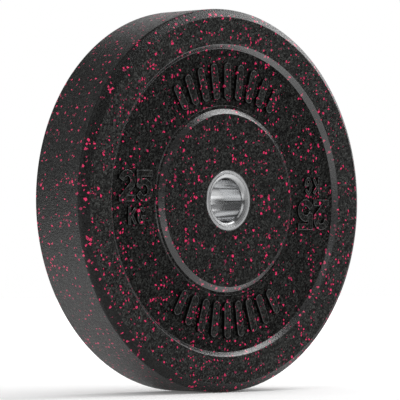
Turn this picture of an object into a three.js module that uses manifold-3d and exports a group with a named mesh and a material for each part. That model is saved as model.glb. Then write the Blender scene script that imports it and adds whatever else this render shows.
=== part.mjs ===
// A bumper plate for a barbell: a thick disc of crumb rubber moulded round a steel hub.
// Lengths are in millimetres. The plate stands on its tread, its axis along Y, its front towards -Y
// and its origin at the centre of the disc.
import * as THREE from 'three';
import { mergeVertices } from 'three/addons/utils/BufferGeometryUtils.js';
import Module from 'manifold-3d';

const wasm = await Module();
wasm.setup();

// Driving dimensions of the whole plate
const plateRadius = 225;
const rimThickness = 91;
const boreRadius = 25.3;

// Gap between two pieces that meet, and how far a joined or cutting shape runs into its target
const clearance = 0.3;
const overrun = 1;

// Rim and the rounded shoulders that lead to the tread
const shoulderWidth = 10;
const shoulderDepth = 8;
const shoulderFillet = 6.5;
const rimFaceWidth = 32;

// Recess between the rim and the boss
const recessDepth = 5;
const recessWallRun = 5;

// Boss round the hub, with a low ledge at its foot
const bossRadius = 101.5;
const bossRise = 0.5;
const bossWallRun = 6;
const ledgeDepth = 3.6;
const ledgeWidth = 3.8;
const ledgeWallRun = 0.6;

// Steel sleeve that lines the bore
const sleeveWall = 6;
const mouthBevelRun = 5.4;
const mouthBevelDepth = 3.7;

// Face rings round the ends of the sleeve, each with a lip buried in the rubber
const ringFaceWidth = 3.4;
const ringDepth = 11;
const ringEdgeBevel = 0.4;
const lipWidth = 7;
const lipThickness = 4;

// Steel disc buried in the rubber, keyed by rubber posts through its holes
const coreRadius = 152;
const coreThickness = 18;
const coreHoleRadius = 14;
const coreHoleCircleRadius = 96;
const coreHoleCount = 6;

// Raised figures and unit letters on the floor of the recess, a little towards the hub
const figureRise = 3.3;
const figureWidth = 25;
const figureHeight = 36.4;
const figureStroke = 7.6;
const figureGap = 1.4;
const figureInset = 1.7;
const unitWidth = 12;
const unitHeight = 20.3;
const unitStroke = 3.7;
const unitGap = 2;
const unitInset = 3.2;
const figuresBaseline = -2.6;
const unitTopBelowBaseline = 6.2;

// Fan of raised ribs at the top and bottom of the recess
const ribRise = 4.6;
const ribWidth = 10;
const ribInnerMarginShare = 0.1;
const ribOuterMarginShare = 0.25;
const ribShorteningShare = 1 / 4;
const ribCount = 9;
const ribStep = THREE.MathUtils.degToRad(8);

// Counts of flats round the turned shapes
const discFlats = 72;
const hubFlats = 48;
const postFlats = 16;
const filletSteps = 3;
const ribEndSteps = 4;
const letterArcSteps = 8;

// Places worked out from the sizes above
const rimY = rimThickness / 2;
const bossY = rimY + bossRise;
const floorY = rimY - recessDepth;
const ledgeY = rimY - ledgeDepth;
const rimOuterRadius = plateRadius - shoulderWidth;
const rimInnerRadius = rimOuterRadius - rimFaceWidth;
const floorOuterRadius = rimInnerRadius - recessWallRun;
const bossFootRadius = bossRadius + bossWallRun;
const ledgeRadius = bossFootRadius + ledgeWidth;
const floorInnerRadius = ledgeRadius + ledgeWallRun;
const floorMiddleRadius = (floorInnerRadius + floorOuterRadius) / 2;
const sleeveRadius = boreRadius + sleeveWall;
const ringInnerRadius = sleeveRadius + clearance;
const ringRadius = ringInnerRadius + ringFaceWidth;
const lipRadius = ringRadius + lipWidth;

// Materials
function crumbRubber() {
  return new THREE.MeshStandardMaterial({ color: '#2f2e2f', roughness: 0.85, metalness: 0 });
}

function polishedSteel() {
  return new THREE.MeshStandardMaterial({ color: '#d9dadb', roughness: 0.18, metalness: 1 });
}

function rolledSteel() {
  return new THREE.MeshStandardMaterial({ color: '#6d6f72', roughness: 0.6, metalness: 0.9 });
}

// A closed geometry as a solid that can be joined and cut.
function toSolid(geometry) {
  const bare = geometry.clone();
  bare.deleteAttribute('normal');
  bare.deleteAttribute('uv');
  const merged = mergeVertices(bare);
  const vertProperties = new Float32Array(merged.attributes.position.array);
  const triVerts = new Uint32Array(merged.index.array);
  return new wasm.Manifold(new wasm.Mesh({ numProp: 3, vertProperties, triVerts }));
}

function toGeometry(solid) {
  const mesh = solid.getMesh();
  const geometry = new THREE.BufferGeometry();
  geometry.setAttribute('position', new THREE.BufferAttribute(mesh.vertProperties, 3));
  geometry.setIndex(new THREE.BufferAttribute(mesh.triVerts, 1));
  geometry.computeVertexNormals();
  return geometry;
}

// A closed profile of [radius, y] points turned round the Y axis. The flats lie on the stated
// radii, with one flat square to each of X and Z, so the plate has a flat to stand on.
function turned(profile, flats) {
  const cornerFactor = 1 / Math.cos(Math.PI / flats);
  const points = profile.map(([radius, y]) => new THREE.Vector2(radius * cornerFactor, y));
  points.push(points[0].clone());
  return new THREE.LatheGeometry(points, flats, Math.PI / flats, 2 * Math.PI);
}

function mirrored(points) {
  return points.map(([radius, y]) => [radius, -y]).reverse();
}

// Round shoulder at the front: from the sloped face, by an arc that touches it, to the tread.
function shoulderArc() {
  const slopeAngle = Math.atan2(shoulderWidth, shoulderDepth);
  const treadY = -rimY + shoulderDepth + shoulderFillet * Math.tan(slopeAngle / 2);
  const centreRadius = plateRadius - shoulderFillet;
  const points = [];
  for (let step = 0; step <= filletSteps; step += 1) {
    const angle = slopeAngle * (1 - step / filletSteps);
    const radius = centreRadius + shoulderFillet * Math.cos(angle);
    points.push([radius, treadY - shoulderFillet * Math.sin(angle)]);
  }
  return points;
}

// Front face of the rubber, from the hub ring out to the tread.
function frontFaceProfile() {
  return [
    [ringRadius + clearance, -bossY],
    [bossRadius, -bossY],
    [bossFootRadius, -ledgeY],
    [ledgeRadius, -ledgeY],
    [floorInnerRadius, -floorY],
    [floorOuterRadius, -floorY],
    [rimInnerRadius, -rimY],
    [rimOuterRadius, -rimY],
    ...shoulderArc(),
  ];
}

// Seat of the front ring and of half the core, from the middle of the plate out to the face.
function frontBoreProfile() {
  const coreHalf = coreThickness / 2 + clearance;
  const lipFaceY = -bossY + ringDepth - lipThickness - clearance;
  const ringBackY = -bossY + ringDepth + clearance;
  return [
    [coreRadius + clearance, -coreHalf],
    [sleeveRadius + clearance, -coreHalf],
    [sleeveRadius + clearance, ringBackY],
    [lipRadius + clearance, ringBackY],
    [lipRadius + clearance, lipFaceY],
    [ringRadius + clearance, lipFaceY],
  ];
}

// Posts of rubber that fill the holes of the core.
function corePosts() {
  const reach = coreThickness + 2 * (clearance + overrun);
  const radius = coreHoleRadius - clearance;
  return coreHolePlaces().map(([x, z]) => {
    const post = new THREE.CylinderGeometry(radius, radius, reach, postFlats);
    return toSolid(post.translate(x, 0, z));
  });
}

function coreHolePlaces() {
  const places = [];
  for (let hole = 0; hole < coreHoleCount; hole += 1) {
    const angle = ((hole + 1 / 2) / coreHoleCount) * 2 * Math.PI;
    places.push([coreHoleCircleRadius * Math.cos(angle), coreHoleCircleRadius * Math.sin(angle)]);
  }
  return places;
}

// Outline of a stroke of even width along a bent line, with mitred corners and square ends that
// reach half a width past the line's own.
function strokeShape(points, width) {
  const directions = points.slice(1).map((point, index) => point.clone().sub(points[index]).normalize());
  const left = [];
  const right = [];
  points.forEach((point, index) => {
    const before = directions[Math.max(index - 1, 0)];
    const after = directions[Math.min(index, directions.length - 1)];
    const side = before.clone().add(after).rotateAround(new THREE.Vector2(), Math.PI / 2);
    side.multiplyScalar(width / 2 / (1 + before.dot(after)));
    const corner = point.clone();
    if (index === 0) corner.addScaledVector(after, -width / 2);
    if (index === points.length - 1) corner.addScaledVector(before, width / 2);
    left.push(corner.clone().add(side));
    right.unshift(corner.clone().sub(side));
  });
  return new THREE.Shape([...left, ...right]);
}

// Points of an elliptical arc in shares of a letter's width and height.
function arcShares(centreX, centreY, radiusX, radiusY, fromDegrees, toDegrees) {
  const shares = [];
  for (let step = 0; step <= letterArcSteps; step += 1) {
    const degrees = fromDegrees + ((toDegrees - fromDegrees) * step) / letterArcSteps;
    const angle = THREE.MathUtils.degToRad(degrees);
    shares.push([centreX + radiusX * Math.cos(angle), centreY + radiusY * Math.sin(angle)]);
  }
  return shares;
}

// Strokes of the plain figures and letters, in shares of their stroke centre lines' box.
const strokeShares = {
  2: [
    [...arcShares(0.5, 0.7, 0.5, 0.3, 150, -30), [0.08, 0.05]],
    [[0, 0], [1, 0]],
  ],
  5: [
    [[1, 1], [0.04, 1], [0.04, 0.56]],
    arcShares(0.48, 0.33, 0.52, 0.33, 140, -140),
  ],
  K: [
    [[0, 0], [0, 1]],
    [[0.95, 0.95], [0.1, 0.42]],
    [[0.35, 0.58], [0.97, 0.05]],
  ],
  G: [
    [...arcShares(0.5, 0.5, 0.5, 0.5, 50, 325), [1, 0.42], [0.65, 0.42]],
  ],
};

// One figure or letter standing on y = 0 with its left edge at x = 0, extruded along +Z.
function letterSolids(letter, width, height, stroke) {
  return strokeShares[letter].map((line) => {
    const points = line.map(([shareX, shareY]) => new THREE.Vector2(
      stroke / 2 + shareX * (width - stroke),
      stroke / 2 + shareY * (height - stroke),
    ));
    const depth = figureRise + overrun;
    const shape = strokeShape(points, stroke);
    return toSolid(new THREE.ExtrudeGeometry(shape, { depth, bevelEnabled: false }));
  });
}

// A word centred on the stated x, as solids on the plane of the letters.
function wordSolids(word, width, height, stroke, gap, centreX, baseline) {
  const total = word.length * width + (word.length - 1) * gap;
  return [...word].flatMap((letter, index) => {
    const left = centreX + index * (width + gap) - total / 2;
    const strokes = letterSolids(letter, width, height, stroke);
    return strokes.map((solid) => solid.translate([left, baseline, 0]));
  });
}

// The weight in figures over its unit, in the middle of the recess to the left of the hub.
function weightMark() {
  const figureX = figureInset - floorMiddleRadius;
  const unitX = unitInset - floorMiddleRadius;
  const unitBaseline = figuresBaseline - unitTopBelowBaseline - unitHeight;
  return [
    ...wordSolids('25', figureWidth, figureHeight, figureStroke, figureGap, figureX, figuresBaseline),
    ...wordSolids('KG', unitWidth, unitHeight, unitStroke, unitGap, unitX, unitBaseline),
  ];
}

// A rib with round ends across the recess above the hub, the outer ribs shorter than the middle one.
function ribShape(index) {
  const fromMiddle = (2 * index) / (ribCount - 1) - 1;
  const floorWidth = floorOuterRadius - floorInnerRadius;
  const innerEnd = floorInnerRadius + ribInnerMarginShare * floorWidth;
  const outerEnd = floorOuterRadius - ribOuterMarginShare * floorWidth;
  const middle = (innerEnd + outerEnd) / 2;
  const half = ((outerEnd - innerEnd) / 2) * (1 - ribShorteningShare * fromMiddle ** 2);
  const endCentre = half - ribWidth / 2;
  const shape = new THREE.Shape();
  shape.absarc(0, middle + endCentre, ribWidth / 2, 0, Math.PI, false);
  shape.absarc(0, middle - endCentre, ribWidth / 2, Math.PI, 2 * Math.PI, false);
  return shape;
}

function ribFan() {
  const ribs = [];
  for (let index = 0; index < ribCount; index += 1) {
    const angle = (index - (ribCount - 1) / 2) * ribStep;
    const rib = new THREE.ExtrudeGeometry(ribShape(index), {
      depth: ribRise + overrun,
      bevelEnabled: false,
      curveSegments: ribEndSteps,
    });
    ribs.push(toSolid(rib.rotateZ(angle)));
  }
  return ribs;
}

// All raised marks of one face: laid on the floor of the recess, repeated by half a turn about the
// axis of the plate. The rear face is the front one turned by half a turn about Z.
function faceMarks(turnAboutZ) {
  const halfTurn = 180;
  const flat = [...weightMark(), ...ribFan()];
  const both = [...flat, ...flat.map((solid) => solid.rotate([0, 0, halfTurn]))];
  return both.map((solid) => solid
    .rotate([halfTurn / 2, 0, 0])
    .translate([0, -floorY + overrun, 0])
    .rotate([0, 0, turnAboutZ]));
}

function rubberBody() {
  const front = frontFaceProfile();
  const bore = frontBoreProfile();
  const profile = [...front, ...mirrored(front), ...mirrored(bore), ...bore];
  let body = toSolid(turned(profile, discFlats));
  const frontTurn = 0;
  const rearTurn = 180;
  for (const piece of [...corePosts(), ...faceMarks(frontTurn), ...faceMarks(rearTurn)]) {
    body = body.add(piece);
  }
  return toGeometry(body);
}

function hubSleeve() {
  const outer = [
    [boreRadius, -bossY + mouthBevelDepth],
    [boreRadius + mouthBevelRun, -bossY],
    [sleeveRadius, -bossY],
  ];
  return turned([...outer, ...mirrored(outer)], hubFlats);
}

// Face ring at the front: a flat face, a short collar on the sleeve, and a lip under the rubber.
function hubRing() {
  const faceY = -bossY;
  const backY = faceY + ringDepth;
  const lipY = backY - lipThickness;
  return turned([
    [ringInnerRadius, faceY],
    [ringRadius - ringEdgeBevel, faceY],
    [ringRadius, faceY + ringEdgeBevel],
    [ringRadius, lipY],
    [lipRadius, lipY],
    [lipRadius, backY],
    [ringInnerRadius, backY],
  ], hubFlats);
}

function coreDisc() {
  const halfThickness = coreThickness / 2;
  let disc = toSolid(turned([
    [sleeveRadius + clearance, -halfThickness],
    [coreRadius, -halfThickness],
    [coreRadius, halfThickness],
    [sleeveRadius + clearance, halfThickness],
  ], discFlats));
  const reach = coreThickness + 2 * overrun;
  for (const [x, z] of coreHolePlaces()) {
    const hole = new THREE.CylinderGeometry(coreHoleRadius, coreHoleRadius, reach, postFlats);
    disc = disc.subtract(toSolid(hole.translate(x, 0, z)));
  }
  return toGeometry(disc);
}

function named(name, geometry, material) {
  const mesh = new THREE.Mesh(geometry, material);
  mesh.name = name;
  return mesh;
}

const plate = new THREE.Group();
plate.name = 'bumper_plate';

const hub = new THREE.Group();
const rearRing = named('hub_ring_rear', hubRing(), polishedSteel());
rearRing.rotation.z = Math.PI;
hub.add(named('hub_sleeve', hubSleeve(), polishedSteel()));
hub.add(named('hub_ring_front', hubRing(), polishedSteel()));
hub.add(rearRing);

plate.add(named('rubber_body', rubberBody(), crumbRubber()));
plate.add(hub);
plate.add(named('core_disc', coreDisc(), rolledSteel()));

export default plate;
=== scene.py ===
"""Dresses the bumper plate: crumb rubber with red flecks, raised marks, and a polished steel hub.

The plate's axis lies along Y with its front towards -Y, it stands on its tread, and the origin is
at the centre of the disc. Everything is in metres.
"""

import bmesh
import bpy
import numpy as np
from mathutils import Matrix, Vector


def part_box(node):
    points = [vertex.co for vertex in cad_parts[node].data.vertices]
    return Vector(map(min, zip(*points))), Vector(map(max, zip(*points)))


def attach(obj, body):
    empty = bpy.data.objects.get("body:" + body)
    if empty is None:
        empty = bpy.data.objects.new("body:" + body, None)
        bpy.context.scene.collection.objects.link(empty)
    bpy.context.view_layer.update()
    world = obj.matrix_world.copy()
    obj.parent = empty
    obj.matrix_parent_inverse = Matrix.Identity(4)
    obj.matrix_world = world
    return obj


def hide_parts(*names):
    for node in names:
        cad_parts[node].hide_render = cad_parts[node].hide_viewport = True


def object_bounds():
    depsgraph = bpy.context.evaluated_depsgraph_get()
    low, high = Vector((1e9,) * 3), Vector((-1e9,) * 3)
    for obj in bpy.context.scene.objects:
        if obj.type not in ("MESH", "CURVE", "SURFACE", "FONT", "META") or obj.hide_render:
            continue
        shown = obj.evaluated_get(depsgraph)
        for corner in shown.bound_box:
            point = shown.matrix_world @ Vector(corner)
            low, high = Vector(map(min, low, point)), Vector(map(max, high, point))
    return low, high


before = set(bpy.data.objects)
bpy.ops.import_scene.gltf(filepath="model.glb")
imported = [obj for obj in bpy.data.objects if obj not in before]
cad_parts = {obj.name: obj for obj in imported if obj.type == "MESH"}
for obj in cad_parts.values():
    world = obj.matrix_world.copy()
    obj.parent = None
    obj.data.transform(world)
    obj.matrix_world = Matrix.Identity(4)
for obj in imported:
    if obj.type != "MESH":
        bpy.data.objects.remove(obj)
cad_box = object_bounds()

bl_info = {
    "name": "Bumper Plate",
    "version": (1, 0, 0),
    "blender": (4, 5, 0),
    "location": "View3D > Sidebar > Bumper Plate",
    "description": "Moulded crumb rubber plate with raised marks and a polished steel hub",
    "category": "Add Mesh",
}

MM = 0.001
RUBBER_FLATS, STEEL_FLATS = 384, 256  # flats round a turned piece
ARC_STEPS, RING_ARC_STEPS, MARK_ARC_STEPS = 6, 4, 4  # steps in the arc of a rounded corner
LETTER_ARC_POINTS, RIB_END_POINTS = 25, 17
SEAM_ROUND = 1.8  # round of the seam between sleeve and ring, in shares of their other rounds
SMOOTHEST, ROUGHEST = 0.8, 1.2  # roughness of a finish's spots, in shares of its average
rubber_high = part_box("rubber_body")[1]
sleeve_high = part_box("hub_sleeve")[1]


def linear(hex_colour):
    """Turns an sRGB hex colour into linear red, green, blue and alpha."""
    shares = np.array([int(hex_colour[i:i + 2], 16) for i in (1, 3, 5)]) / 255
    low, high = shares / 12.92, ((shares + 0.055) / 1.055) ** 2.4
    return (*np.where(shares <= 0.04045, low, high).tolist(), 1.0)


# Settings that a user would change

def a_length(name, description, default):
    """A length in metres, shown in the scene's unit."""
    return bpy.props.FloatProperty(
        name=name, description=description, default=default, unit="LENGTH")


def a_share(name, description, default, largest):
    """A share of something, from none of it to the largest that makes sense."""
    return bpy.props.FloatProperty(
        name=name, description=description, default=default, subtype="FACTOR", min=0,
        max=largest)


def a_colour(name, description, hex_colour):
    """A colour, given as sRGB hex."""
    return bpy.props.FloatVectorProperty(
        name=name, description=description, size=4, subtype="COLOR", min=0, max=1,
        default=linear(hex_colour))


def a_level(name, description, default):
    """A plain number without a unit, such as a radiance, where 1 is white."""
    return bpy.props.FloatProperty(name=name, description=description, default=default)


class PlateSizes(bpy.types.PropertyGroup):
    """Sizes of the moulding, as radii from the bar's axis and depths from the rim's face."""

    radius: a_length("Radius", "Radius of the tread", rubber_high.x)
    rim_half: a_length("Rim half thickness", "From the middle to the rim's face", 45.5 * MM)
    boss_half: a_length("Boss half thickness", "From the middle to its face", rubber_high.y)
    shoulder_width: a_length("Shoulder width", "Reach of its slope across the face", 10 * MM)
    shoulder_depth: a_length("Shoulder depth", "Reach of its slope along the tread", 8 * MM)
    shoulder_round: a_length("Shoulder round", "Radius where it meets the tread", 6.5 * MM)
    rim_width: a_length("Rim width", "Width of the rim's flat face", 32 * MM)
    recess_depth: a_length("Recess depth", "Depth of the ring between rim and boss", 5 * MM)
    recess_wall: a_length("Recess wall", "Reach of the recess's sloped outer wall", 5 * MM)
    boss_radius: a_length("Boss radius", "Radius of the boss's flat face", 101.5 * MM)
    boss_wall: a_length("Boss wall", "Reach of the boss's sloped wall", 6 * MM)
    ledge_depth: a_length("Ledge depth", "Depth of the low ledge at the boss's foot", 3.6 * MM)
    ledge_width: a_length("Ledge width", "Width of the ledge at the boss's foot", 3.8 * MM)
    ledge_wall: a_length("Ledge wall", "Reach of the ledge's sloped wall", 0.6 * MM)
    edge_round: a_length("Edge round", "Radius of the moulding's outer edges", 1.2 * MM)
    clearance: a_length("Clearance", "Gap between two pieces that meet", 0.3 * MM)


class MarkSizes(bpy.types.PropertyGroup):
    """Sizes of the raised figures, unit letters and ribs on the floor of the recess."""

    figure_rise: a_length("Figure rise", "How far figures and letters stand out", 3.3 * MM)
    rib_rise: a_length("Rib rise", "How far the ribs stand out", 4.6 * MM)
    edge_round: a_length("Edge round", "Radius of the marks' top edges", 0.7 * MM)
    sink: a_length("Root", "How deep the marks are rooted in the floor", 1 * MM)
    figure_width: a_length("Figure width", "Width of a figure", 25 * MM)
    figure_height: a_length("Figure height", "Height of a figure", 36.4 * MM)
    figure_stroke: a_length("Figure stroke", "Width of a figure's stroke", 7.6 * MM)
    figure_gap: a_length("Figure gap", "Gap between two figures", 1.4 * MM)
    figure_inset: a_length("Figure inset", "From mid-floor in towards the axis", 1.7 * MM)
    figures_baseline: a_length("Figures' baseline", "Height over the axis", -2.6 * MM)
    unit_width: a_length("Unit width", "Width of a unit letter", 12 * MM)
    unit_height: a_length("Unit height", "Height of a unit letter", 20.3 * MM)
    unit_stroke: a_length("Unit stroke", "Width of a unit letter's stroke", 3.7 * MM)
    unit_gap: a_length("Unit gap", "Gap between two unit letters", 2 * MM)
    unit_inset: a_length("Unit inset", "From mid-floor in towards the axis", 3.2 * MM)
    unit_drop: a_length("Unit drop", "From the figures' baseline to the letters", 6.2 * MM)
    rib_width: a_length("Rib width", "Width of a rib", 10 * MM)
    rib_inner_margin: a_share("Rib inner margin", "Share of floor left inside", 0.1, 0.4)
    rib_outer_margin: a_share("Rib outer margin", "Share of floor left outside", 0.25, 0.4)
    rib_shortening: a_share("Rib shortening", "Share that the last rib lacks", 0.25, 1)
    rib_count: bpy.props.IntProperty(
        name="Rib count", description="Ribs in each fan", default=9, min=2)
    rib_step: bpy.props.FloatProperty(
        name="Rib step", description="Angle from one rib to the next", default=np.radians(8),
        subtype="ANGLE")


class HubSizes(bpy.types.PropertyGroup):
    """Sizes of the steel sleeve in the bore and of the rings round its ends."""

    bore_radius: a_length("Bore radius", "Radius of the bar's bore", 25.3 * MM)
    sleeve_radius: a_length("Sleeve radius", "Outer radius of the sleeve", 31.3 * MM)
    half_length: a_length("Half length", "From the middle of the sleeve to its end", sleeve_high.y)
    bevel_run: a_length("Bevel run", "Reach of the bevelled mouth across the end", 5.4 * MM)
    bevel_depth: a_length("Bevel depth", "Reach of the bevelled mouth into the bore", 3.7 * MM)
    mouth_round: a_length("Mouth round", "Radius at both ends of the bevel", 4 * MM)
    ring_radius: a_length("Ring radius", "Outer radius of the ring's face", 35 * MM)
    ring_depth: a_length("Ring depth", "How deep the ring reaches into the rubber", 11 * MM)
    ring_bevel: a_length("Ring bevel", "Size of the ring's broken outer edge", 0.4 * MM)
    lip_radius: a_length("Lip radius", "Outer radius of the ring's buried lip", 42 * MM)
    lip_thickness: a_length("Lip thickness", "Thickness of the ring's buried lip", 4 * MM)
    edge_round: a_length("Edge round", "Radius of the turned edges", 0.25 * MM)


class Finishes(bpy.types.PropertyGroup):
    """Colours and grain of the rubber and the steel."""

    rubber: a_colour("Rubber", "Colour of the black crumb", "#070707")
    rubber_light: a_colour("Light crumb", "Colour of the palest black crumb", "#454644")
    fleck: a_colour("Fleck", "Colour of the bright red flecks", "#fc3570")
    fleck_dim: a_colour("Dim fleck", "Colour of the flecks that lie under a black skin", "#90284c")
    crumb_size: a_length("Crumb size", "Typical width of a grain of crumb", 1.7 * MM)
    fleck_spacing: a_length("Fleck spacing", "Size of the space that may hold one fleck", 4.2 * MM)
    fleck_radius: a_length("Fleck radius", "Radius of a fleck", 1.55 * MM)
    fleck_share: a_share("Fleck share", "Share of those spaces that hold a fleck", 0.27, 1)
    steel: a_colour("Polished steel", "Colour of the polished hub", "#c1c2c3")
    rolled: a_colour("Rolled steel", "Colour of the buried core", "#6d6f72")


class Studio(bpy.types.PropertyGroup):
    """Levels of the studio light and the camera's lens."""

    key: a_level("Key", "Radiance of the large softbox high at the right", 1.05)
    top: a_level("Top", "Radiance of the smaller softbox over the key", 2.5)
    left: a_level("Left", "Radiance of the fill behind the plate at its left", 0.22)
    high_left: a_level("High left", "Radiance of the softbox high at the left", 0.7)
    card: a_level("Card", "Radiance of the card that the bore reflects", 1.8)
    ambient: a_level("Ambient", "Level of the light from all round", 0.62)
    lens: a_level("Lens", "Focal length in millimetres", 298.58)


# Meshes

def rounded(corners, steps):
    """Points of a closed profile of [x, y, radius] corners, each rounded by its radius.

    A corner with sides towards u and v at half angle h becomes an arc of radius r whose centre
    lies r / sin h along u + v, and which turns by pi - 2h. It takes up at most a set share of
    the shorter side. One point more on either side, a little past the arc, keeps the shading of
    the flat faces flat.
    """
    most_of_side, guard_length, guard_share = 0.4, 0.4 * MM, 0.1
    corners = np.array(corners, float)
    points, radii = corners[:, :2], corners[:, 2]
    to_last = np.roll(points, 1, axis=0) - points
    to_next = np.roll(points, -1, axis=0) - points
    length_last, length_next = (np.linalg.norm(side, axis=1) for side in (to_last, to_next))
    shorter = np.minimum(length_last, length_next)
    u, v = to_last / length_last[:, None], to_next / length_next[:, None]
    half = np.arccos(np.clip((u * v).sum(1), -1, 1)) / 2
    reach = np.minimum(radii / np.tan(half), most_of_side * shorter)
    radii = reach * np.tan(half)
    middle = (u + v) / np.linalg.norm(u + v, axis=1)[:, None]
    centre = points + middle * (radii / np.sin(half))[:, None]
    start = points + u * reach[:, None] - centre
    turn = np.sign(v[:, 0] * u[:, 1] - v[:, 1] * u[:, 0]) * (np.pi - 2 * half)
    angle = turn[:, None] * np.linspace(0, 1, steps + 1)
    cos, sin = np.cos(angle), np.sin(angle)
    arc = np.stack([start[:, :1] * cos - start[:, 1:] * sin,
                    start[:, :1] * sin + start[:, 1:] * cos], axis=2) + centre[:, None, :]
    guard = np.minimum(guard_length, guard_share * shorter) + reach
    first = points + u * guard[:, None]
    last = points + v * guard[:, None]
    ring = np.concatenate([first[:, None, :], arc, last[:, None, :]], axis=1)
    return ring.reshape(-1, 2)


def turned(profile, flats):
    """Points and faces of a closed profile of [radius, y] points turned round the Y axis.

    A point at angle a is (radius cos a, y, radius sin a). Both parameters close on themselves.
    """
    angles = np.linspace(0, 2 * np.pi, flats, endpoint=False)
    radius, y = profile.T
    points = np.stack(np.broadcast_arrays(
        radius * np.cos(angles)[:, None], y, radius * np.sin(angles)[:, None]), axis=2)
    return points.reshape(-1, 3), grid_faces(flats, len(profile), True)


def grid_faces(rows, columns, closed_rows):
    """Four-sided faces of a grid whose columns close on themselves, and its rows too if asked."""
    row = np.arange(rows if closed_rows else rows - 1)[:, None]
    column = np.arange(columns)
    below, beside = (row + 1) % rows, (column + 1) % columns
    faces = np.stack(np.broadcast_arrays(
        row * columns + column, row * columns + beside,
        below * columns + beside, below * columns + column), axis=2)
    return faces.reshape(-1, 4)


def outward(points, faces):
    """The faces, all turned round if the volume that they enclose comes out negative."""
    a, b, c, d = (points[faces[:, i]] for i in range(4))
    volume = (np.cross(b, c) * a).sum() + (np.cross(c, d) * a).sum()
    return faces if volume > 0 else faces[:, ::-1]


def mirrored(corners):
    """The corners of a profile's front half, mirrored to its rear half."""
    return [(radius, -y, round_) for radius, y, round_ in reversed(corners)]


def new_object(name, data):
    """An object with that mesh, lamp or camera, in the scene."""
    thing = bpy.data.objects.new(name, data)
    bpy.context.scene.collection.objects.link(thing)
    return thing


def make_piece(name, shells, materials, material_of=None):
    """A piece that rides on the body, from closed shells of (points, faces).

    Points that coincide are merged, so that seams and poles are closed.
    """
    same_point = 0.0005 * MM
    counts = np.cumsum([0] + [len(points) for points, _ in shells])
    points = np.concatenate([points for points, _ in shells])
    faces = np.concatenate([outward(*shell) + count for shell, count in zip(shells, counts)])
    mesh = bpy.data.meshes.new(name)
    mesh.from_pydata(points.tolist(), [], faces.tolist())
    for material in materials:
        mesh.materials.append(material)
    if material_of is not None:
        mesh.polygons.foreach_set("material_index", material_of.astype(np.int32))
    mesh.polygons.foreach_set("use_smooth", np.ones(len(faces), bool))
    work = bmesh.new()
    work.from_mesh(mesh)
    bmesh.ops.remove_doubles(work, verts=work.verts, dist=same_point)
    work.to_mesh(mesh)
    work.free()
    if any(edge.is_loose for edge in mesh.edges) or mesh.validate():
        raise RuntimeError(f"{name} isn't a closed mesh")
    piece = new_object(name, mesh)
    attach(piece, "root")
    return piece


def relief(centres, reaches, half_width, rise, marks):
    """Points and faces of one raised stroke on the plane of the marks, its height along z.

    A ring of points runs round the stroke, each at its centre plus its reach times a half width.
    From ring to ring the half width shrinks while the height climbs: up the wall, round the top
    edge by a quarter circle, and across the top to the centre line. The underside closes the same
    way. A ring a little way in from the round keeps the shading of the top flat.
    """
    guard = 0.2 * MM
    quarter = np.linspace(0, np.pi / 2, MARK_ARC_STEPS + 1)
    inset = marks.edge_round * (1 - np.cos(quarter))
    climb = marks.edge_round * (np.sin(quarter) - 1)
    halves = np.concatenate([[0, half_width, half_width], half_width - inset,
                             [half_width - marks.edge_round - guard, 0]])
    heights = np.concatenate([[-marks.sink, -marks.sink, 0], rise + climb, [rise, rise]])
    flat = centres + reaches * halves[:, None, None]
    tall = np.broadcast_to(heights[:, None, None], flat.shape[:2] + (1,))
    points = np.concatenate([flat, tall], axis=2)
    return points.reshape(-1, 3), grid_faces(len(halves), len(centres), False)


def stroke(points):
    """Centres and reaches of a stroke along a bent line, with mitred corners and square ends.

    The reach at a corner is the bisector of its two sides' normals, over the cosine of half the
    turn. At an end the reach also runs one half width along the line.
    """
    steps = np.diff(points, axis=0)
    steps /= np.linalg.norm(steps, axis=1)[:, None]
    before = np.concatenate([steps[:1], steps])
    after = np.concatenate([steps, steps[-1:]])
    side = before + after
    side = np.stack([-side[:, 1], side[:, 0]], axis=1) / (1 + (before * after).sum(1))[:, None]
    onward = np.zeros_like(side)
    onward[0], onward[-1] = -steps[0], steps[-1]
    centres = np.concatenate([points, points[::-1]])
    return centres, np.concatenate([onward + side, (onward - side)[::-1]])


def arc_shares(centre, radii, degrees):
    """Points of an elliptical arc, in shares of a letter's width and height."""
    angle = np.radians(np.linspace(*degrees, LETTER_ARC_POINTS))
    return centre + radii * np.stack([np.cos(angle), np.sin(angle)], axis=1)


# Strokes of the plain figures and letters, in shares of their stroke centre lines' box
STROKE_SHARES = {
    "2": [np.concatenate([arc_shares((0.5, 0.7), (0.5, 0.3), (150, -30)), [[0.08, 0.05]]]),
          np.array([[0, 0], [1, 0]])],
    "5": [np.array([[1, 1], [0.04, 1], [0.04, 0.56]]),
          arc_shares((0.48, 0.33), (0.52, 0.33), (140, -140))],
    "K": [np.array([[0, 0], [0, 1]]),
          np.array([[0.95, 0.95], [0.1, 0.42]]),
          np.array([[0.35, 0.58], [0.97, 0.05]])],
    "G": [np.concatenate([arc_shares((0.5, 0.5), (0.5, 0.5), (50, 325)),
                          [[1, 0.42], [0.65, 0.42]]])],
}


def word(letters, width, height, stroke_width, gap, centre, baseline, marks):
    """Shells of a word that is centred on its x and stands on its baseline.

    Each further stroke lies a little lower than the one before, so that no two tops coincide.
    """
    lower = 0.05 * MM
    shells = []
    left = centre - (len(letters) * width + (len(letters) - 1) * gap) / 2
    box = np.array([width, height]) - stroke_width
    for letter in letters:
        corner = np.array([left, baseline]) + stroke_width / 2
        for order, shares in enumerate(STROKE_SHARES[letter]):
            points, faces = relief(*stroke(corner + shares * box), stroke_width / 2,
                                   marks.figure_rise, marks)
            points[:, 2] -= order * lower
            shells.append((points, faces))
        left += width + gap
    return shells


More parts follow.
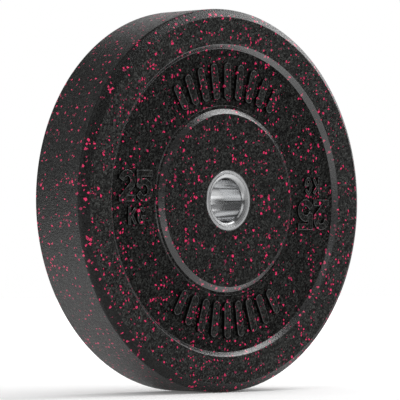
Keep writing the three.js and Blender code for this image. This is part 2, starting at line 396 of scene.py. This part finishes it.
def place_marks(shells, floor_half, rear):
    """The marks of one face, laid on its floor, once as they are and once half a turn round.

    A point (x, z, height) of the plane goes to (x, -floor - height, z). The rear face is the
    front one turned half a turn about Z.
    """
    placed = []
    for points, faces in shells:
        x, z, height = points.T
        for turn in (1, -1):
            front = np.stack([turn * x, -floor_half - height, turn * z], axis=1)
            placed.append((front * [-1, -1, 1] if rear else front, faces))
    return placed


def parts_of(shells, marks):
    """Number of the part that each face of the placed marks is on: top 0, wall 1, edge 2."""
    level_with_top, below_edge = 0.01 * MM, 0.9 * marks.edge_round
    parts = []
    for points, faces in shells:
        drop = points[:, 2].max() - points[faces][:, :, 2].min(axis=1)
        part = np.select([drop < level_with_top, drop > below_edge], [0, 1], 2)
        parts.append(np.tile(part, 2))
    return np.concatenate(parts)


def floor_of(sizes):
    """Inner and outer radius of the floor of the recess, and its distance from the middle."""
    inner = sizes.boss_radius + sizes.boss_wall + sizes.ledge_width + sizes.ledge_wall
    outer = sizes.radius - sizes.shoulder_width - sizes.rim_width - sizes.recess_wall
    return inner, outer, sizes.rim_half - sizes.recess_depth


# Materials

def add_node(tree, kind, inputs=None, **settings):
    """Adds a node, sets its properties, and sets or links its inputs."""
    node = tree.nodes.new(kind)
    for name, value in settings.items():
        setattr(node, name, value)
    for name, value in (inputs or {}).items():
        if isinstance(value, bpy.types.NodeSocket):
            tree.links.new(value, node.inputs[name])
        else:
            node.inputs[name].default_value = value
    return node


def new_material(name):
    """An empty node material with its tree and its object coordinates."""
    material = bpy.data.materials.new(name)
    material.use_nodes = True
    tree = material.node_tree
    tree.nodes.clear()
    return material, tree, add_node(tree, "ShaderNodeTexCoord").outputs["Object"]


def covered(material, shader):
    """The material, with that shader as its surface."""
    add_node(material.node_tree, "ShaderNodeOutputMaterial", {"Surface": shader.outputs[0]})
    return material


def darker(colour, share):
    """The colour with its red, green and blue scaled by a share."""
    return (*(share * np.array(colour[:3])).tolist(), 1.0)


def shaken(tree, place, width, reach):
    """The place, shifted by a soft noise of that width, mostly by under a fifth of the reach."""
    noise = add_node(tree, "ShaderNodeTexNoise", {
        "Vector": place, "Scale": 1 / width, "Detail": 2.0})
    centred = add_node(tree, "ShaderNodeVectorMath", {
        0: noise.outputs["Color"], 1: (0.5, 0.5, 0.5)}, operation="SUBTRACT")
    shift = add_node(tree, "ShaderNodeVectorMath", {
        0: centred.outputs[0], "Scale": reach}, operation="SCALE")
    return add_node(tree, "ShaderNodeVectorMath", {
        0: place, 1: shift.outputs[0]}, operation="ADD").outputs[0]


def crumb_rubber(name, finish, roughness, specular, grain, tone, flecks=1.0, ior=1.6,
                 fleck_size=1.0):
    """Crumb rubber: ground black tyre rubber and red granules, pressed hot with a binder.

    Pressing leaves a dense matt mosaic of one to three millimetre grains, each cut flat at the
    surface, with a fine dark seam round it. The red granules are cut as deep as they happen to
    lie, so they show as sharp uneven flecks of many sizes, some dulled by a skin of black. The
    tone scales the black crumb's lightness: it darkens it where the mould has wiped it, it holds
    painted shade in the recess and a painted highlight on the marks' rounded edges, and flecks
    scales their share.
    """
    material, tree, place = new_material(name)

    # Black grains, some paler than others, with outlines that stray by about a quarter of a grain
    grain_wobble_width, grain_wobble = finish.crumb_size / 0.45, 2.2 * MM
    grains = add_node(tree, "ShaderNodeTexVoronoi", {
        "Vector": shaken(tree, place, grain_wobble_width, grain_wobble),
        "Scale": 1 / finish.crumb_size})
    shade = add_node(tree, "ShaderNodeSeparateColor", {"Color": grains.outputs["Color"]})
    paler = add_node(tree, "ShaderNodeMath", {
        0: shade.outputs["Red"], 1: shade.outputs["Blue"]}, operation="MULTIPLY")
    black = add_node(tree, "ShaderNodeMix", {
        "Factor": paler.outputs[0],
        "A": darker(finish.rubber, tone), "B": darker(finish.rubber_light, tone)},
        data_type="RGBA")

    # Red flecks, in the few spaces whose random number is high enough, more in some parts of the
    # mix than in others
    fleck_wobble_width, fleck_wobble = 2.4 * MM, 4.5 * MM
    crowd_width, scarce, crowded = 22 * MM, 0.5, 1.5
    smallest, largest = 0.5, 1.3
    dimmest, brightest = 0.15, 0.6
    share = flecks * finish.fleck_share
    radius = fleck_size * finish.fleck_radius / finish.fleck_spacing
    spaces = add_node(tree, "ShaderNodeTexVoronoi", {
        "Vector": shaken(tree, place, fleck_wobble_width, fleck_wobble),
        "Scale": 1 / finish.fleck_spacing, "Randomness": 0.9})
    chance = add_node(tree, "ShaderNodeSeparateColor", {"Color": spaces.outputs["Color"]})
    crowd = add_node(tree, "ShaderNodeTexNoise", {
        "Vector": place, "Scale": 1 / crowd_width, "Detail": 1.0})
    needed = add_node(tree, "ShaderNodeMapRange", {
        "Value": crowd.outputs["Fac"], "From Min": 0.3, "From Max": 0.7,
        "To Min": 1 - scarce * share, "To Max": 1 - crowded * share})
    chosen = add_node(tree, "ShaderNodeMath", {
        0: chance.outputs["Red"], 1: needed.outputs["Result"]}, operation="GREATER_THAN")
    size = add_node(tree, "ShaderNodeMapRange", {
        "Value": chance.outputs["Green"], "To Min": smallest * radius,
        "To Max": largest * radius})
    inside = add_node(tree, "ShaderNodeMath", {
        0: size.outputs["Result"], 1: spaces.outputs["Distance"]}, operation="GREATER_THAN")
    is_fleck = add_node(tree, "ShaderNodeMath", {
        0: chosen.outputs[0], 1: inside.outputs[0]}, operation="MULTIPLY")
    brighter = add_node(tree, "ShaderNodeMapRange", {
        "Value": chance.outputs["Blue"], "From Min": dimmest, "From Max": brightest})
    red = add_node(tree, "ShaderNodeMix", {
        "Factor": brighter.outputs["Result"],
        "A": tuple(finish.fleck_dim), "B": tuple(finish.fleck)}, data_type="RGBA")
    colour = add_node(tree, "ShaderNodeMix", {
        "Factor": is_fleck.outputs[0],
        "A": black.outputs["Result"], "B": red.outputs["Result"]}, data_type="RGBA")

    # A seam sunk between the grains, and fine pits of a few tenths of a millimetre, drawn at
    # about one millimetre so that they still show
    seam_start, seam_foot, pit_width, relief_depth = 0.2, 0.75, 1.1 * MM, 0.35 * MM
    seam = add_node(tree, "ShaderNodeMapRange", {
        "Value": grains.outputs["Distance"], "From Min": seam_start, "From Max": seam_foot,
        "To Min": 1.0, "To Max": 0.0})
    pits = add_node(tree, "ShaderNodeTexNoise", {
        "Vector": place, "Scale": 1 / pit_width, "Detail": 3.0})
    height = add_node(tree, "ShaderNodeMath", {
        0: seam.outputs["Result"], 1: pits.outputs["Fac"]}, operation="ADD")
    bump = add_node(tree, "ShaderNodeBump", {
        "Height": height.outputs[0], "Strength": grain, "Distance": relief_depth})
    gloss = add_node(tree, "ShaderNodeMapRange", {
        "Value": shade.outputs["Green"],
        "To Min": SMOOTHEST * roughness, "To Max": ROUGHEST * roughness})

    shader = add_node(tree, "ShaderNodeBsdfPrincipled", {
        "Base Color": colour.outputs["Result"], "Roughness": gloss.outputs["Result"],
        "Normal": bump.outputs["Normal"], "Specular IOR Level": specular, "IOR": ior})
    return covered(material, shader)


def turned_steel(name, finish, share, roughness):
    """Stainless steel, turned on a lathe and polished.

    The tool leaves grooves far too fine to draw that run round the axis, so reflections smear
    across them: along the bore, and in and out on the flat ring. Wiping and handling leave faint
    streaks that run along the bore. The share scales how much light the polish gives back.
    """
    streak_width, streak_squeeze = 3 * MM, 0.06
    dullest, brightest = 0.92 * share, 1.06 * share
    material, tree, place = new_material(name)
    around = add_node(tree, "ShaderNodeVectorMath", {
        0: (0.0, 1.0, 0.0), 1: place}, operation="CROSS_PRODUCT")
    groove = add_node(tree, "ShaderNodeVectorMath", {0: around.outputs[0]},
                      operation="NORMALIZE")
    drawn_out = add_node(tree, "ShaderNodeVectorMath", {
        0: place, 1: (1.0, streak_squeeze, 1.0)}, operation="MULTIPLY")
    streaks = add_node(tree, "ShaderNodeTexNoise", {
        "Vector": drawn_out.outputs[0], "Scale": 1 / streak_width, "Detail": 2.0})
    tone = add_node(tree, "ShaderNodeMapRange", {
        "Value": streaks.outputs["Fac"], "From Min": 0.3, "From Max": 0.7,
        "To Min": dullest, "To Max": brightest})
    colour = add_node(tree, "ShaderNodeVectorMath", {
        0: tuple(finish.steel)[:3], "Scale": tone.outputs["Result"]}, operation="SCALE")
    gloss = add_node(tree, "ShaderNodeMapRange", {
        "Value": streaks.outputs["Fac"],
        "To Min": SMOOTHEST * roughness, "To Max": ROUGHEST * roughness})
    shader = add_node(tree, "ShaderNodeBsdfPrincipled", {
        "Base Color": colour.outputs[0], "Metallic": 1.0,
        "Roughness": gloss.outputs["Result"], "Anisotropic": 0.9,
        "Anisotropic Rotation": 0.25, "Tangent": groove.outputs[0]})
    return covered(material, shader)


def mill_scale_steel(name, finish):
    """Hot rolled plate: a blue-grey mill scale in patches, rougher where it has flaked off."""
    patch_width, scale_depth, scale_tone = 18 * MM, 0.2 * MM, 0.45
    material, tree, place = new_material(name)
    patches = add_node(tree, "ShaderNodeTexNoise", {
        "Vector": place, "Scale": 1 / patch_width, "Detail": 5.0, "Roughness": 0.6})
    share = add_node(tree, "ShaderNodeMapRange", {
        "Value": patches.outputs["Fac"], "From Min": 0.42, "From Max": 0.58})
    colour = add_node(tree, "ShaderNodeMix", {
        "Factor": share.outputs["Result"],
        "A": darker(finish.rolled, scale_tone), "B": tuple(finish.rolled)}, data_type="RGBA")
    gloss = add_node(tree, "ShaderNodeMapRange", {
        "Value": share.outputs["Result"], "To Min": 0.45, "To Max": 0.7})
    bump = add_node(tree, "ShaderNodeBump", {
        "Height": patches.outputs["Fac"], "Strength": 0.3, "Distance": scale_depth})
    shader = add_node(tree, "ShaderNodeBsdfPrincipled", {
        "Base Color": colour.outputs["Result"], "Metallic": 0.9,
        "Roughness": gloss.outputs["Result"], "Normal": bump.outputs["Normal"]})
    return covered(material, shader)


# The crumb by its place on the moulding, and what the mould and use have made of it. The tones
# of the recess and of the marks' edges also carry painted shade and a painted highlight
CRUMB = {
    # The mould's lid leaves a faint sheen on the rim's face
    "rim": {"roughness": 0.5, "specular": 0.08, "grain": 0.65, "tone": 1.4},
    # The boss and the tops of the ribs are matt, with every grain showing
    "boss": {"roughness": 0.55, "specular": 0.06, "grain": 0.65, "tone": 1.1, "flecks": 0.95},
    # Dust of the grinding leaves the recess's floor and the tops of the figures dead matt; their
    # tone, darker than the rim's and the boss's, is painted shade of the recess
    "recess": {"roughness": 0.6, "specular": 0.04, "grain": 0.65, "tone": 0.95, "flecks": 0.7},
    # The mould's sloped walls wipe the crumb smooth and black, with more gloss
    "wiped": {"roughness": 0.3, "specular": 1.0, "grain": 0.25, "tone": 0.2, "ior": 1.75},
    # The upright walls of the marks come out black and dull
    "mark_wall": {"roughness": 0.55, "specular": 0.1, "grain": 0.4, "tone": 0.2, "flecks": 0.6},
    # The rounded edges of the marks are rubbed a little smoother than their tops; their tone,
    # lighter than the tops', is a painted highlight along the edges
    "mark_edge": {"roughness": 0.35, "specular": 0.8, "grain": 0.4, "tone": 1.2, "flecks": 0.8},
    # The mould's shell smooths the tread and gives it a soft even sheen
    "tread": {"roughness": 0.42, "specular": 0.6, "grain": 1.0, "tone": 0.7, "flecks": 1.3,
              "fleck_size": 0.75},
    # The shoulders rub against racks and stay dark and fairly smooth
    "shoulder": {"roughness": 0.32, "specular": 0.26, "grain": 0.8, "tone": 0.35,
                 "flecks": 1.2},
}


def finish_named(name, make, **details):
    """The material of that name, made the first time that a piece asks for it."""
    finishes = bpy.context.scene.plate_finishes
    return bpy.data.materials.get(name) or make(name, finishes, **details)


def rubber(place):
    """The crumb rubber at that place on the moulding."""
    return finish_named(f"{place}_crumb_rubber", crumb_rubber, **CRUMB[place])


def hub_steel():
    """The finish of the two rings and of the sleeve's ends, as the lathe leaves it."""
    return finish_named("turned_stainless_steel", turned_steel, share=1.1, roughness=0.25)


def bore_steel():
    """The finish inside the bore, which bars have polished brighter."""
    return finish_named("polished_stainless_steel", turned_steel, share=1.0, roughness=0.1)


def raise_marks(names, shells, floor, top, marks):
    """The marks of the front and the rear face, with tops of the rubber at the place given."""
    finishes = [rubber(place) for place in (top, "mark_wall", "mark_edge")]
    for name, rear in zip(names, (False, True)):
        make_piece(name, place_marks(shells, floor, rear), finishes,
                   parts_of(shells, marks))


# Operators, one for each piece or group of like pieces

class PLATE_OT_moulding(bpy.types.Operator):
    """Turns the rubber moulding, with its rounded shoulders, recess, boss and inner seats"""

    bl_idname = "plate.moulding"
    bl_label = "Rubber moulding"

    def execute(self, context):
        sizes, hub = context.scene.plate_sizes, context.scene.hub_sizes
        inner, outer, floor = floor_of(sizes)
        rim, boss, gap, edge = sizes.rim_half, sizes.boss_half, sizes.clearance, sizes.edge_round
        ledge = rim - sizes.ledge_depth
        foot = sizes.boss_radius + sizes.boss_wall
        slope_start = sizes.radius - sizes.shoulder_width
        # Radius, place along the axis, and rounding of each corner of the front half
        front = [
            (hub.ring_radius + gap, -boss, 0.5 * edge),
            (sizes.boss_radius, -boss, edge),
            (foot, -ledge, 0.6 * edge),
            (foot + sizes.ledge_width, -ledge, 0.5 * edge),
            (inner, -floor, 0.2 * edge),
            (outer, -floor, edge),
            (outer + sizes.recess_wall, -rim, 1.4 * edge),
            (slope_start, -rim, edge),
            (sizes.radius, -rim + sizes.shoulder_depth, sizes.shoulder_round),
        ]
        core_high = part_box("core_disc")[1]
        core = core_high.y + gap
        ring_back = boss - hub.ring_depth - gap
        lip_face = boss - hub.ring_depth + hub.lip_thickness + gap
        seat = [
            (core_high.x + gap, -core, 0),
            (hub.sleeve_radius + gap, -core, 0),
            (hub.sleeve_radius + gap, -ring_back, 0),
            (hub.lip_radius + gap, -ring_back, 0),
            (hub.lip_radius + gap, -lip_face, 0),
            (hub.ring_radius + gap, -lip_face, 0),
        ]
        faces_profile = rounded(front + mirrored(front), ARC_STEPS)
        seats = np.array(mirrored(seat) + seat)[:, :2]
        profile = np.concatenate([faces_profile, seats])
        points, faces = turned(profile, RUBBER_FLATS)
        # The tread is the outermost level part, and the walls are steeper than one in three
        places = ["rim", "boss", "recess", "wiped", "tread", "shoulder"]
        slack = 0.1 * MM
        step = np.abs(np.roll(profile, -1, axis=0) - profile)
        radius = profile[:, 0]
        tests = {
            "tread": (radius > sizes.radius - slack) & (step[:, 0] < slack),
            "shoulder": radius > slope_start + slack,
            "wiped": step[:, 1] > step[:, 0] / 3,
            "boss": radius < sizes.boss_radius,
            "recess": radius < outer,
        }
        finish = np.select(list(tests.values()), [places.index(place) for place in tests],
                           places.index("rim"))
        piece = make_piece("rubber_moulding", [(points, faces)],
                           [rubber(place) for place in places],
                           finish[faces[:, 0] % len(profile)])
        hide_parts("rubber_body")
        return {"FINISHED"}


class PLATE_OT_figures(bpy.types.Operator):
    """Raises the weight in figures, and its unit under it, twice on each face"""

    bl_idname = "plate.figures"
    bl_label = "Figures"

    def execute(self, context):
        sizes, marks = context.scene.plate_sizes, context.scene.mark_sizes
        inner, outer, floor = floor_of(sizes)
        middle = (inner + outer) / 2
        shells = word("25", marks.figure_width, marks.figure_height, marks.figure_stroke,
                      marks.figure_gap, marks.figure_inset - middle, marks.figures_baseline,
                      marks)
        shells += word("KG", marks.unit_width, marks.unit_height, marks.unit_stroke,
                       marks.unit_gap, marks.unit_inset - middle,
                       marks.figures_baseline - marks.unit_drop - marks.unit_height, marks)
        raise_marks(("front_figures", "rear_figures"), shells, floor, "recess", marks)
        return {"FINISHED"}


class PLATE_OT_ribs(bpy.types.Operator):
    """Raises a fan of ribs with round ends over and under the hub, on each face"""

    bl_idname = "plate.ribs"
    bl_label = "Ribs"

    def execute(self, context):
        sizes, marks = context.scene.plate_sizes, context.scene.mark_sizes
        inner, outer, floor = floor_of(sizes)
        start = inner + marks.rib_inner_margin * (outer - inner)
        end = outer - marks.rib_outer_margin * (outer - inner)
        longest = (end - start) / 2
        angles = np.linspace(0, np.pi, RIB_END_POINTS)
        round_end = np.stack([np.cos(angles), np.sin(angles)], axis=1)
        reaches = np.concatenate([round_end, -round_end])
        shells = []
        for place in np.linspace(-1, 1, marks.rib_count):
            half = longest * (1 - marks.rib_shortening * place ** 2) - marks.rib_width / 2
            ends = np.repeat([[0, half], [0, -half]], RIB_END_POINTS, axis=0)
            points, faces = relief(ends + [0, (start + end) / 2], reaches,
                                   marks.rib_width / 2, marks.rib_rise, marks)
            angle = place * (marks.rib_count - 1) / 2 * marks.rib_step
            turn = np.array(Matrix.Rotation(angle, 3, "Z"))
            shells.append((points @ turn.T, faces))
        raise_marks(("front_ribs", "rear_ribs"), shells, floor, "boss", marks)
        return {"FINISHED"}


class PLATE_OT_sleeve(bpy.types.Operator):
    """Turns the steel sleeve in the bore, with a bevelled mouth at each end"""

    bl_idname = "plate.sleeve"
    bl_label = "Sleeve"

    def execute(self, context):
        hub = context.scene.hub_sizes
        end, edge = hub.half_length, hub.edge_round
        # The bevel starts a little deeper than its setting and is broken once, so that with its
        # wide rounds it curves like a trumpet's mouth
        deeper, broken_run, broken_depth = 1.15, 0.35, 0.4
        front = [
            (hub.bore_radius, -end + deeper * hub.bevel_depth, hub.mouth_round),
            (hub.bore_radius + broken_run * hub.bevel_run,
             -end + broken_depth * hub.bevel_depth, hub.mouth_round),
            (hub.bore_radius + hub.bevel_run, -end, edge),
            (hub.sleeve_radius, -end, SEAM_ROUND * edge),
        ]
        profile = rounded(front + mirrored(front), ARC_STEPS)
        points, faces = turned(profile, STEEL_FLATS)
        slack = 0.01 * MM
        in_bore = profile[:, 0] < hub.bore_radius + slack
        piece = make_piece("sleeve_liner", [(points, faces)], [hub_steel(), bore_steel()],
                           in_bore[faces[:, 0] % len(profile)] * 1)
        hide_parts("hub_sleeve")
        return {"FINISHED"}


class PLATE_OT_rings(bpy.types.Operator):
    """Turns the flat steel ring round each end of the sleeve, with its lip in the rubber"""

    bl_idname = "plate.rings"
    bl_label = "Rings"

    def execute(self, context):
        sizes, hub = context.scene.plate_sizes, context.scene.hub_sizes
        face, edge = hub.half_length, hub.edge_round
        back = face - hub.ring_depth
        lip = back + hub.lip_thickness
        inner = hub.sleeve_radius + sizes.clearance
        corners = [
            (inner, -face, SEAM_ROUND * edge),
            (hub.ring_radius - hub.ring_bevel, -face, 0.5 * edge),
            (hub.ring_radius, -face + hub.ring_bevel, 0.5 * edge),
            (hub.ring_radius, -lip, edge),
            (hub.lip_radius, -lip, edge),
            (hub.lip_radius, -back, edge),
            (inner, -back, edge),
        ]
        profile = rounded(corners, RING_ARC_STEPS)
        for name, node, side in (("front_ring", "hub_ring_front", 1),
                                 ("rear_ring", "hub_ring_rear", -1)):
            points, faces = turned(profile * [1, side], STEEL_FLATS)
            piece = make_piece(name, [(points, faces)], [hub_steel()])
            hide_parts(node)
        return {"FINISHED"}


class PLATE_OT_core(bpy.types.Operator):
    """Finishes the steel disc that is buried in the rubber"""

    bl_idname = "plate.core"
    bl_label = "Core disc"

    def execute(self, context):
        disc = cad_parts["core_disc"]
        steel = finish_named("mill_scale_steel", mill_scale_steel)
        for slot in disc.material_slots:
            slot.material = steel
        if not disc.material_slots:
            raise RuntimeError("the core disc has no material slot")
        return {"FINISHED"}


class PLATE_OT_stage(bpy.types.Operator):
    """Sets up the pale floor, the soft studio light and the camera"""

    bl_idname = "plate.stage"
    bl_label = "Stage"

    def execute(self, context):
        scene, studio = context.scene, context.scene.plate_studio
        scene.view_settings.view_transform = "Standard"

        reach, ground = 6.0, cad_box[0].z
        floor = self.flat("floor", [(-reach, -reach, ground), (reach, -reach, ground),
                                    (reach, reach, ground), (-reach, reach, ground)],
                          self.paper(ground))

        # A card behind the plate, which only shows in the polished bore, by the left, right,
        # foot and top of its two parts
        behind = 0.12
        parts = ((-0.05, 0.08, 0.036, 0.078), (-0.077, -0.055, -0.04, 0.028))
        corners = [(x, behind, z) for left, right, foot, top in parts
                   for x, z in ((left, foot), (right, foot), (right, top), (left, top))]
        card = self.flat("card", corners, self.card(studio.card))

        # Name, place, direction of the long side, size and radiance
        lamps = (
            ("key_softbox", (1.6, -0.22, 1.34), (-0.62, -0.5, 0.6), (2.8, 1.3), studio.key),
            ("top_softbox", (1.5, -0.05, 1.45), (-0.62, -0.5, 0.6), (2.2, 1.1), studio.top),
            ("left_fill", (-1.2, 1.8, 1.1), (1.0, 0.7, 0.0), (1.6, 1.4), studio.left),
            ("left_softbox", (-1.25, -0.25, 1.3), (0.7, 0.1, 0.7), (2.4, 1.2),
             studio.high_left),
        )
        for name, place, along, size, radiance in lamps:
            lamp = bpy.data.lights.new(name, "AREA")
            lamp.shape, (lamp.size, lamp.size_y) = "RECTANGLE", size
            lamp.energy = radiance * np.pi * size[0] * size[1]
            holder = new_object(name, lamp)
            backward = Vector(place).normalized()
            across = backward.cross(Vector(along)).normalized()
            turn = Matrix((across.cross(backward), across, backward)).transposed().to_4x4()
            holder.matrix_world = Matrix.Translation(place) @ turn
            holder.visible_camera = False
        scene.world = self.room(studio.ambient)

        camera = new_object("camera", bpy.data.cameras.new("camera"))
        camera.data.lens = studio.lens
        camera.data.clip_end = 100
        # Place and axes of the camera in the plate's frame: right, up, and back from the view
        place = (-2.67746, -2.86127, -0.05995)
        right = Vector((0.73050473, -0.68290763, 0.0))
        up = Vector((-0.01063607, -0.01137738, 0.99987871))
        turn = Matrix((right, up, right.cross(up))).transposed().to_4x4()
        camera.matrix_world = Matrix.Translation(place) @ turn
        scene.camera = camera
        return {"FINISHED"}

    def flat(self, name, corners, material):
        """An object of separate four-sided faces, from their corners in order."""
        mesh = bpy.data.meshes.new(name)
        mesh.from_pydata(corners, [], np.arange(len(corners)).reshape(-1, 4).tolist())
        mesh.materials.append(material)
        return new_object(name, mesh)

    def seen_directly(self, tree, rays):
        """One for rays from the camera, also through clear parts, and nothing for others."""
        return add_node(tree, "ShaderNodeMath", {
            0: rays.outputs["Is Camera Ray"], 1: rays.outputs["Is Transmission Ray"]},
            operation="MAXIMUM").outputs[0]

    def room(self, ambient):
        """World that is white to the camera, even to matt surfaces, and patchy to glossy ones."""
        world = bpy.data.worlds.new("studio")
        world.use_nodes = True
        tree = world.node_tree
        tree.nodes.clear()
        rays = add_node(tree, "ShaderNodeLightPath")
        heading = add_node(tree, "ShaderNodeTexCoord").outputs["Generated"]
        # The room is dim but for three patches, each given by the direction of its middle, how
        # near to that it starts and is full, and its radiance: the pale right of the room, a
        # window behind it, and one at the front left
        patches = (
            ((0.8, -0.6, -0.5), (0.25, 0.95), 0.6),
            ((0.69, 0.66, 0.3), (0.9, 0.98), 1.1),
            ((-0.68, -0.5, 0.54), (0.94, 0.98), 0.5),
        )
        glossy = 0.08
        for middle, (start, full), radiance in patches:
            near = add_node(tree, "ShaderNodeVectorMath", {
                0: heading, 1: middle}, operation="DOT_PRODUCT")
            patch = add_node(tree, "ShaderNodeMapRange", {
                "Value": near.outputs["Value"], "From Min": start, "From Max": full,
                "To Min": 0.0, "To Max": radiance}, interpolation_type="SMOOTHSTEP")
            glossy = add_node(tree, "ShaderNodeMath", {
                0: glossy, 1: patch.outputs["Result"]}, operation="ADD").outputs[0]
        level = add_node(tree, "ShaderNodeMix", {
            "Factor": rays.outputs["Is Glossy Ray"], "A": ambient, "B": glossy},
            data_type="FLOAT")
        strength = add_node(tree, "ShaderNodeMix", {
            "Factor": self.seen_directly(tree, rays), "A": level.outputs["Result"], "B": 1.0},
            data_type="FLOAT")
        sky = add_node(tree, "ShaderNodeBackground", {
            "Color": (1.0, 1.0, 1.0, 1.0), "Strength": strength.outputs["Result"]})
        add_node(tree, "ShaderNodeOutputWorld", {"Surface": sky.outputs["Background"]})
        return world

    def card(self, radiance):
        """White card for reflections: it glows for glossy rays and is clear for all others."""
        material, tree, _ = new_material("reflector_card")
        rays = add_node(tree, "ShaderNodeLightPath")
        clear = add_node(tree, "ShaderNodeBsdfTransparent")
        glow = add_node(tree, "ShaderNodeEmission", {"Strength": radiance})
        both = add_node(tree, "ShaderNodeMixShader", {
            0: rays.outputs["Is Glossy Ray"], 1: clear.outputs[0], 2: glow.outputs[0]})
        return covered(material, both)

    def paper(self, ground):
        """Seamless studio paper: matt and nearly white, with hardly any grain, and with painted
        shade on it that only glossy rays see.
        """
        fibre_width = 2 * MM
        material, tree, place = new_material("studio_paper")
        rays = add_node(tree, "ShaderNodeLightPath")
        fibres = add_node(tree, "ShaderNodeTexNoise", {
            "Vector": place, "Scale": 1 / fibre_width, "Detail": 2.0})
        tone = add_node(tree, "ShaderNodeMix", {
            "Factor": fibres.outputs["Fac"], "A": linear("#f4f4f4"), "B": linear("#f8f8f8")},
            data_type="RGBA")

        # Glossy rays see the paper darkened by painted shade: painted darkness far in front and
        # far behind for the lamps' light thinning out, and a painted shadow of the plate behind it
        # at the right and before its foot. What is read, where the painted shade starts and ends
        # to change, and its share at either end, for the paper far in front, the plate's painted
        # shadow behind it at the right, the paper far behind, and the painted shadow before its
        # foot
        away = add_node(tree, "ShaderNodeVectorMath", {0: place}, operation="LENGTH")
        sides = add_node(tree, "ShaderNodeSeparateXYZ", {"Vector": place})
        heading = add_node(tree, "ShaderNodeVectorMath", {0: place}, operation="NORMALIZE")
        back_right = add_node(tree, "ShaderNodeVectorMath", {
            0: heading.outputs[0], 1: (0.6, 0.8, 0.0)}, operation="DOT_PRODUCT")
        foot = add_node(tree, "ShaderNodeVectorMath", {
            0: place, 1: (-0.13, -0.29, ground)}, operation="DISTANCE")
        painted_shade_changes = (
            (sides.outputs["Y"], (-1.1, -0.3), (0.3, 1.0)),
            (back_right.outputs["Value"], (0.38, 0.5), (1.0, 0.2)),
            (sides.outputs["Y"], (0.8, 1.5), (1.0, 0.15)),
            (foot.outputs["Value"], (0.14, 0.34), (0.5, 1.0)),
        )
        glossy_painted_shade = 1.0
        for value, (start, end), (first, last) in painted_shade_changes:
            change = add_node(tree, "ShaderNodeMapRange", {
                "Value": value, "From Min": start, "From Max": end,
                "To Min": first, "To Max": last})
            glossy_painted_shade = add_node(tree, "ShaderNodeMath", {
                0: glossy_painted_shade, 1: change.outputs["Result"]}, operation="MULTIPLY").outputs[0]
        # Only for glossy rays is the paper's colour scaled by this painted shade
        level = add_node(tree, "ShaderNodeMix", {
            "Factor": rays.outputs["Is Glossy Ray"], "A": 1.0, "B": glossy_painted_shade}, data_type="FLOAT")
        tone_with_painted_shade = add_node(tree, "ShaderNodeVectorMath", {
            0: tone.outputs["Result"], "Scale": level.outputs["Result"]}, operation="SCALE")
        matt = add_node(tree, "ShaderNodeBsdfDiffuse", {"Color": tone_with_painted_shade.outputs[0]})

        # The lamps light the paper less and less with the distance, and its glow makes up for it
        seen = add_node(tree, "ShaderNodeMath", {
            0: self.seen_directly(tree, rays), 1: rays.outputs["Is Glossy Ray"]},
            operation="MAXIMUM")
        lift = add_node(tree, "ShaderNodeMapRange", {
            "Value": away.outputs["Value"], "From Min": 0.4, "From Max": 3.0,
            "To Min": 0.12, "To Max": 0.8})
        shown = add_node(tree, "ShaderNodeMath", {
            0: seen.outputs[0], 1: lift.outputs["Result"]}, operation="MULTIPLY")
        # For glossy rays the glow is dimmed by the same painted shade
        glow_with_painted_shade = add_node(tree, "ShaderNodeMath", {
            0: shown.outputs[0], 1: level.outputs["Result"]}, operation="MULTIPLY")
        glow = add_node(tree, "ShaderNodeEmission", {"Strength": glow_with_painted_shade.outputs[0]})
        both = add_node(tree, "ShaderNodeAddShader", {0: matt.outputs[0], 1: glow.outputs[0]})
        return covered(material, both)


class PLATE_PT_panel(bpy.types.Panel):
    """Lists the plate's operators and settings in the sidebar of the 3D view"""

    bl_idname = "PLATE_PT_panel"
    bl_label = "Bumper Plate"
    bl_space_type = "VIEW_3D"
    bl_region_type = "UI"
    bl_category = "Bumper Plate"

    def draw(self, context):
        for operator in OPERATORS:
            self.layout.operator(operator.bl_idname)
        for group in GROUPS:
            box = self.layout.box()
            settings = getattr(context.scene, group)
            for name in settings.bl_rna.properties.keys():
                if name not in ("rna_type", "name"):
                    box.prop(settings, name)


OPERATORS = (PLATE_OT_moulding, PLATE_OT_figures, PLATE_OT_ribs, PLATE_OT_sleeve,
             PLATE_OT_rings, PLATE_OT_core, PLATE_OT_stage)
GROUPS = {"plate_sizes": PlateSizes, "mark_sizes": MarkSizes, "hub_sizes": HubSizes,
          "plate_finishes": Finishes, "plate_studio": Studio}


def register():
    for group in (*GROUPS.values(), *OPERATORS, PLATE_PT_panel):
        bpy.utils.register_class(group)
    for name, group in GROUPS.items():
        setattr(bpy.types.Scene, name, bpy.props.PointerProperty(type=group))


def unregister():
    for name in GROUPS:
        delattr(bpy.types.Scene, name)
    for group in (PLATE_PT_panel, *OPERATORS, *GROUPS.values()):
        bpy.utils.unregister_class(group)


def main():
    register()
    bpy.ops.plate.moulding()
    bpy.ops.plate.figures()
    bpy.ops.plate.ribs()
    bpy.ops.plate.sleeve()
    bpy.ops.plate.rings()
    bpy.ops.plate.core()
    bpy.ops.plate.stage()


if __name__ == "__main__":
    main()
